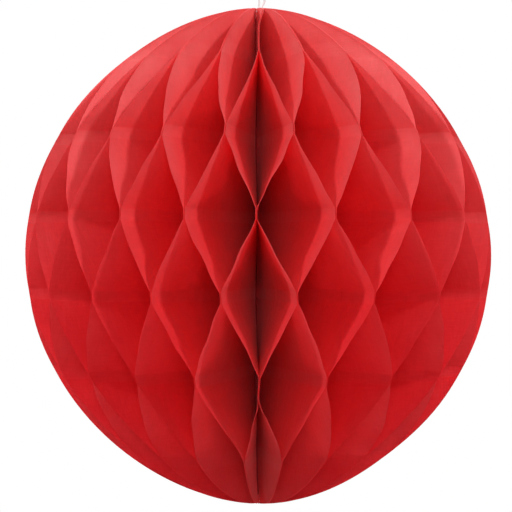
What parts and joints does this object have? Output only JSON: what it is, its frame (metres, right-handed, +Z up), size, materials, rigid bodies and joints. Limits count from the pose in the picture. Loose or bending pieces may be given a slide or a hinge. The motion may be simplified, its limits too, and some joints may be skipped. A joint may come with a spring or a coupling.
{
  "type": "honeycomb paper ball",
  "caption": "Hanging decoration: tissue leaves glued in a honeycomb, bound at a spine between two card covers, opening from flat into a ball under a thread loop.",
  "frame": {"origin": "inside top of the hanging thread loop, where a hook bears; the ball hangs below it on the Z axis", "axes": "+Z up along the thread and the spine; -Y is the front; +Y is the seam where the two covers meet"},
  "size_m": [0.0934, 0.0935, 0.1303],
  "materials": {
    "tissue": "matt tissue paper, red",
    "card": "matt red card",
    "adhesive": "double-sided adhesive strip",
    "spine_cord": "red cotton cord",
    "thread": "white cotton thread"
  },
  "bodies": {
    "hanger": {"hanging_loop": "thread", "top_knot": "spine_cord"},
    "core": {"spine_cord": "spine_cord", "bottom_knot": "spine_cord", "cover_board_a": "card", "adhesive_strip_upper": "adhesive", "adhesive_strip_lower": "adhesive"},
    "cover_b": {"cover_board_b": "card"},
    "leaf_body_01": {"leaf_01": "tissue"},
    "leaf_body_02": {"leaf_02": "tissue"},
    "leaf_body_03": {"leaf_03": "tissue"},
    "leaf_body_04": {"leaf_04": "tissue"},
    "leaf_body_05": {"leaf_05": "tissue"},
    "leaf_body_06": {"leaf_06": "tissue"},
    "leaf_body_07": {"leaf_07": "tissue"},
    "leaf_body_08": {"leaf_08": "tissue"},
    "leaf_body_09": {"leaf_09": "tissue"},
    "leaf_body_10": {"leaf_10": "tissue"},
    "leaf_body_11": {"leaf_11": "tissue"},
    "leaf_body_12": {"leaf_12": "tissue"},
    "leaf_body_13": {"leaf_13": "tissue"},
    "leaf_body_14": {"leaf_14": "tissue"},
    "leaf_body_15": {"leaf_15": "tissue"},
    "leaf_body_16": {"leaf_16": "tissue"},
    "leaf_body_17": {"leaf_17": "tissue"},
    "leaf_body_18": {"leaf_18": "tissue"},
    "leaf_body_19": {"leaf_19": "tissue"},
    "leaf_body_20": {"leaf_20": "tissue"},
    "leaf_body_21": {"leaf_21": "tissue"},
    "leaf_body_22": {"leaf_22": "tissue"},
    "leaf_body_23": {"leaf_23": "tissue"},
    "leaf_body_24": {"leaf_24": "tissue"},
    "leaf_body_25": {"leaf_25": "tissue"},
    "leaf_body_26": {"leaf_26": "tissue"},
    "leaf_body_27": {"leaf_27": "tissue"},
    "leaf_body_28": {"leaf_28": "tissue"},
    "leaf_body_29": {"leaf_29": "tissue"},
    "leaf_body_30": {"leaf_30": "tissue"},
    "leaf_body_31": {"leaf_31": "tissue"},
    "leaf_body_32": {"leaf_32": "tissue"},
    "leaf_body_33": {"leaf_33": "tissue"},
    "leaf_body_34": {"leaf_34": "tissue"},
    "leaf_body_35": {"leaf_35": "tissue"},
    "leaf_body_36": {"leaf_36": "tissue"},
    "leaf_body_37": {"leaf_37": "tissue"},
    "leaf_body_38": {"leaf_38": "tissue"},
    "leaf_body_39": {"leaf_39": "tissue"},
    "leaf_body_40": {"leaf_40": "tissue"}
  },
  "joints": [
    {"name": "ball_swivel", "type": "hinge", "parent": "hanger", "child": "core", "pos_m": [0, 0, -0.034], "axis": [0, 0, 1], "continuous": true},
    {"name": "fan_fold", "type": "hinge", "parent": "core", "child": "cover_b", "pos_m": [0, 0, -0.08], "axis": [0, 0, 1], "range_deg": [-350, 0]},
    {"name": "leaf_01_turn", "type": "hinge", "parent": "core", "child": "leaf_body_01", "pos_m": [0, 0, -0.08], "axis": [0, 0, 1], "range_deg": [-4.7, 0], "deforming": ["leaf_01"]},
    {"name": "leaf_02_turn", "type": "hinge", "parent": "core", "child": "leaf_body_02", "pos_m": [0, 0, -0.08], "axis": [0, 0, 1], "range_deg": [-14.2, 0], "deforming": ["leaf_02"]},
    {"name": "leaf_03_turn", "type": "hinge", "parent": "core", "child": "leaf_body_03", "pos_m": [0, 0, -0.08], "axis": [0, 0, 1], "range_deg": [-23.7, 0], "deforming": ["leaf_03"]},
    {"name": "leaf_04_turn", "type": "hinge", "parent": "core", "child": "leaf_body_04", "pos_m": [0, 0, -0.08], "axis": [0, 0, 1], "range_deg": [-33.2, 0], "deforming": ["leaf_04"]},
    {"name": "leaf_05_turn", "type": "hinge", "parent": "core", "child": "leaf_body_05", "pos_m": [0, 0, -0.08], "axis": [0, 0, 1], "range_deg": [-42.6, 0], "deforming": ["leaf_05"]},
    {"name": "leaf_06_turn", "type": "hinge", "parent": "core", "child": "leaf_body_06", "pos_m": [0, 0, -0.08], "axis": [0, 0, 1], "range_deg": [-51.8, 0], "deforming": ["leaf_06"]},
    {"name": "leaf_07_turn", "type": "hinge", "parent": "core", "child": "leaf_body_07", "pos_m": [0, 0, -0.08], "axis": [0, 0, 1], "range_deg": [-60.9, 0], "deforming": ["leaf_07"]},
    {"name": "leaf_08_turn", "type": "hinge", "parent": "core", "child": "leaf_body_08", "pos_m": [0, 0, -0.08], "axis": [0, 0, 1], "range_deg": [-69.8, 0], "deforming": ["leaf_08"]},
    {"name": "leaf_09_turn", "type": "hinge", "parent": "core", "child": "leaf_body_09", "pos_m": [0, 0, -0.08], "axis": [0, 0, 1], "range_deg": [-78.6, 0], "deforming": ["leaf_09"]},
    {"name": "leaf_10_turn", "type": "hinge", "parent": "core", "child": "leaf_body_10", "pos_m": [0, 0, -0.08], "axis": [0, 0, 1], "range_deg": [-87.4, 0], "deforming": ["leaf_10"]},
    {"name": "leaf_11_turn", "type": "hinge", "parent": "core", "child": "leaf_body_11", "pos_m": [0, 0, -0.08], "axis": [0, 0, 1], "range_deg": [-96.1, 0], "deforming": ["leaf_11"]},
    {"name": "leaf_12_turn", "type": "hinge", "parent": "core", "child": "leaf_body_12", "pos_m": [0, 0, -0.08], "axis": [0, 0, 1], "range_deg": [-104.9, 0], "deforming": ["leaf_12"]},
    {"name": "leaf_13_turn", "type": "hinge", "parent": "core", "child": "leaf_body_13", "pos_m": [0, 0, -0.08], "axis": [0, 0, 1], "range_deg": [-113.5, 0], "deforming": ["leaf_13"]},
    {"name": "leaf_14_turn", "type": "hinge", "parent": "core", "child": "leaf_body_14", "pos_m": [0, 0, -0.08], "axis": [0, 0, 1], "range_deg": [-122.1, 0], "deforming": ["leaf_14"]},
    {"name": "leaf_15_turn", "type": "hinge", "parent": "core", "child": "leaf_body_15", "pos_m": [0, 0, -0.08], "axis": [0, 0, 1], "range_deg": [-130.6, 0], "deforming": ["leaf_15"]},
    {"name": "leaf_16_turn", "type": "hinge", "parent": "core", "child": "leaf_body_16", "pos_m": [0, 0, -0.08], "axis": [0, 0, 1], "range_deg": [-138.9, 0], "deforming": ["leaf_16"]},
    {"name": "leaf_17_turn", "type": "hinge", "parent": "core", "child": "leaf_body_17", "pos_m": [0, 0, -0.08], "axis": [0, 0, 1], "range_deg": [-147, 0], "deforming": ["leaf_17"]},
    {"name": "leaf_18_turn", "type": "hinge", "parent": "core", "child": "leaf_body_18", "pos_m": [0, 0, -0.08], "axis": [0, 0, 1], "range_deg": [-155, 0], "deforming": ["leaf_18"]},
    {"name": "leaf_19_turn", "type": "hinge", "parent": "core", "child": "leaf_body_19", "pos_m": [0, 0, -0.08], "axis": [0, 0, 1], "range_deg": [-163, 0], "deforming": ["leaf_19"]},
    {"name": "leaf_20_turn", "type": "hinge", "parent": "core", "child": "leaf_body_20", "pos_m": [0, 0, -0.08], "axis": [0, 0, 1], "range_deg": [-171, 0], "deforming": ["leaf_20"]},
    {"name": "leaf_21_turn", "type": "hinge", "parent": "core", "child": "leaf_body_21", "pos_m": [0, 0, -0.08], "axis": [0, 0, 1], "range_deg": [-179.2, 0], "deforming": ["leaf_21"]},
    {"name": "leaf_22_turn", "type": "hinge", "parent": "core", "child": "leaf_body_22", "pos_m": [0, 0, -0.08], "axis": [0, 0, 1], "range_deg": [-187.8, 0], "deforming": ["leaf_22"]},
    {"name": "leaf_23_turn", "type": "hinge", "parent": "core", "child": "leaf_body_23", "pos_m": [0, 0, -0.08], "axis": [0, 0, 1], "range_deg": [-196.7, 0], "deforming": ["leaf_23"]},
    {"name": "leaf_24_turn", "type": "hinge", "parent": "core", "child": "leaf_body_24", "pos_m": [0, 0, -0.08], "axis": [0, 0, 1], "range_deg": [-206.1, 0], "deforming": ["leaf_24"]},
    {"name": "leaf_25_turn", "type": "hinge", "parent": "core", "child": "leaf_body_25", "pos_m": [0, 0, -0.08], "axis": [0, 0, 1], "range_deg": [-215.8, 0], "deforming": ["leaf_25"]},
    {"name": "leaf_26_turn", "type": "hinge", "parent": "core", "child": "leaf_body_26", "pos_m": [0, 0, -0.08], "axis": [0, 0, 1], "range_deg": [-225.7, 0], "deforming": ["leaf_26"]},
    {"name": "leaf_27_turn", "type": "hinge", "parent": "core", "child": "leaf_body_27", "pos_m": [0, 0, -0.08], "axis": [0, 0, 1], "range_deg": [-235.7, 0], "deforming": ["leaf_27"]},
    {"name": "leaf_28_turn", "type": "hinge", "parent": "core", "child": "leaf_body_28", "pos_m": [0, 0, -0.08], "axis": [0, 0, 1], "range_deg": [-245.6, 0], "deforming": ["leaf_28"]},
    {"name": "leaf_29_turn", "type": "hinge", "parent": "core", "child": "leaf_body_29", "pos_m": [0, 0, -0.08], "axis": [0, 0, 1], "range_deg": [-255.3, 0], "deforming": ["leaf_29"]},
    {"name": "leaf_30_turn", "type": "hinge", "parent": "core", "child": "leaf_body_30", "pos_m": [0, 0, -0.08], "axis": [0, 0, 1], "range_deg": [-264.5, 0], "deforming": ["leaf_30"]},
    {"name": "leaf_31_turn", "type": "hinge", "parent": "core", "child": "leaf_body_31", "pos_m": [0, 0, -0.08], "axis": [0, 0, 1], "range_deg": [-273.3, 0], "deforming": ["leaf_31"]},
    {"name": "leaf_32_turn", "type": "hinge", "parent": "core", "child": "leaf_body_32", "pos_m": [0, 0, -0.08], "axis": [0, 0, 1], "range_deg": [-281.5, 0], "deforming": ["leaf_32"]},
    {"name": "leaf_33_turn", "type": "hinge", "parent": "core", "child": "leaf_body_33", "pos_m": [0, 0, -0.08], "axis": [0, 0, 1], "range_deg": [-289.4, 0], "deforming": ["leaf_33"]},
    {"name": "leaf_34_turn", "type": "hinge", "parent": "core", "child": "leaf_body_34", "pos_m": [0, 0, -0.08], "axis": [0, 0, 1], "range_deg": [-297, 0], "deforming": ["leaf_34"]},
    {"name": "leaf_35_turn", "type": "hinge", "parent": "core", "child": "leaf_body_35", "pos_m": [0, 0, -0.08], "axis": [0, 0, 1], "range_deg": [-304.4, 0], "deforming": ["leaf_35"]},
    {"name": "leaf_36_turn", "type": "hinge", "parent": "core", "child": "leaf_body_36", "pos_m": [0, 0, -0.08], "axis": [0, 0, 1], "range_deg": [-312, 0], "deforming": ["leaf_36"]},
    {"name": "leaf_37_turn", "type": "hinge", "parent": "core", "child": "leaf_body_37", "pos_m": [0, 0, -0.08], "axis": [0, 0, 1], "range_deg": [-319.8, 0], "deforming": ["leaf_37"]},
    {"name": "leaf_38_turn", "type": "hinge", "parent": "core", "child": "leaf_body_38", "pos_m": [0, 0, -0.08], "axis": [0, 0, 1], "range_deg": [-328, 0], "deforming": ["leaf_38"]},
    {"name": "leaf_39_turn", "type": "hinge", "parent": "core", "child": "leaf_body_39", "pos_m": [0, 0, -0.08], "axis": [0, 0, 1], "range_deg": [-336.5, 0], "deforming": ["leaf_39"]},
    {"name": "leaf_40_turn", "type": "hinge", "parent": "core", "child": "leaf_body_40", "pos_m": [0, 0, -0.08], "axis": [0, 0, 1], "range_deg": [-345.5, 0], "deforming": ["leaf_40"]}
  ],
  "couplings": [
    {"joint": "leaf_01_turn", "follows": "fan_fold", "ratio": 0.013412},
    {"joint": "leaf_02_turn", "follows": "fan_fold", "ratio": 0.040434},
    {"joint": "leaf_03_turn", "follows": "fan_fold", "ratio": 0.067674},
    {"joint": "leaf_04_turn", "follows": "fan_fold", "ratio": 0.09481},
    {"joint": "leaf_05_turn", "follows": "fan_fold", "ratio": 0.12161},
    {"joint": "leaf_06_turn", "follows": "fan_fold", "ratio": 0.14794},
    {"joint": "leaf_07_turn", "follows": "fan_fold", "ratio": 0.17381},
    {"joint": "leaf_08_turn", "follows": "fan_fold", "ratio": 0.19928},
    {"joint": "leaf_09_turn", "follows": "fan_fold", "ratio": 0.2245},
    {"joint": "leaf_10_turn", "follows": "fan_fold", "ratio": 0.24957},
    {"joint": "leaf_11_turn", "follows": "fan_fold", "ratio": 0.27457},
    {"joint": "leaf_12_turn", "follows": "fan_fold", "ratio": 0.2995},
    {"joint": "leaf_13_turn", "follows": "fan_fold", "ratio": 0.32428},
    {"joint": "leaf_14_turn", "follows": "fan_fold", "ratio": 0.34881},
    {"joint": "leaf_15_turn", "follows": "fan_fold", "ratio": 0.37294},
    {"joint": "leaf_16_turn", "follows": "fan_fold", "ratio": 0.39661},
    {"joint": "leaf_17_turn", "follows": "fan_fold", "ratio": 0.41981},
    {"joint": "leaf_18_turn", "follows": "fan_fold", "ratio": 0.44267},
    {"joint": "leaf_19_turn", "follows": "fan_fold", "ratio": 0.46543},
    {"joint": "leaf_20_turn", "follows": "fan_fold", "ratio": 0.48841},
    {"joint": "leaf_21_turn", "follows": "fan_fold", "ratio": 0.51196},
    {"joint": "leaf_22_turn", "follows": "fan_fold", "ratio": 0.5364},
    {"joint": "leaf_23_turn", "follows": "fan_fold", "ratio": 0.56193},
    {"joint": "leaf_24_turn", "follows": "fan_fold", "ratio": 0.58862},
    {"joint": "leaf_25_turn", "follows": "fan_fold", "ratio": 0.61631},
    {"joint": "leaf_26_turn", "follows": "fan_fold", "ratio": 0.6447},
    {"joint": "leaf_27_turn", "follows": "fan_fold", "ratio": 0.67332},
    {"joint": "leaf_28_turn", "follows": "fan_fold", "ratio": 0.70166},
    {"joint": "leaf_29_turn", "follows": "fan_fold", "ratio": 0.72922},
    {"joint": "leaf_30_turn", "follows": "fan_fold", "ratio": 0.75561},
    {"joint": "leaf_31_turn", "follows": "fan_fold", "ratio": 0.78061},
    {"joint": "leaf_32_turn", "follows": "fan_fold", "ratio": 0.80422},
    {"joint": "leaf_33_turn", "follows": "fan_fold", "ratio": 0.82666},
    {"joint": "leaf_34_turn", "follows": "fan_fold", "ratio": 0.84832},
    {"joint": "leaf_35_turn", "follows": "fan_fold", "ratio": 0.8697},
    {"joint": "leaf_36_turn", "follows": "fan_fold", "ratio": 0.89131},
    {"joint": "leaf_37_turn", "follows": "fan_fold", "ratio": 0.91362},
    {"joint": "leaf_38_turn", "follows": "fan_fold", "ratio": 0.93693},
    {"joint": "leaf_39_turn", "follows": "fan_fold", "ratio": 0.9614},
    {"joint": "leaf_40_turn", "follows": "fan_fold", "ratio": 0.98696}
  ]
}
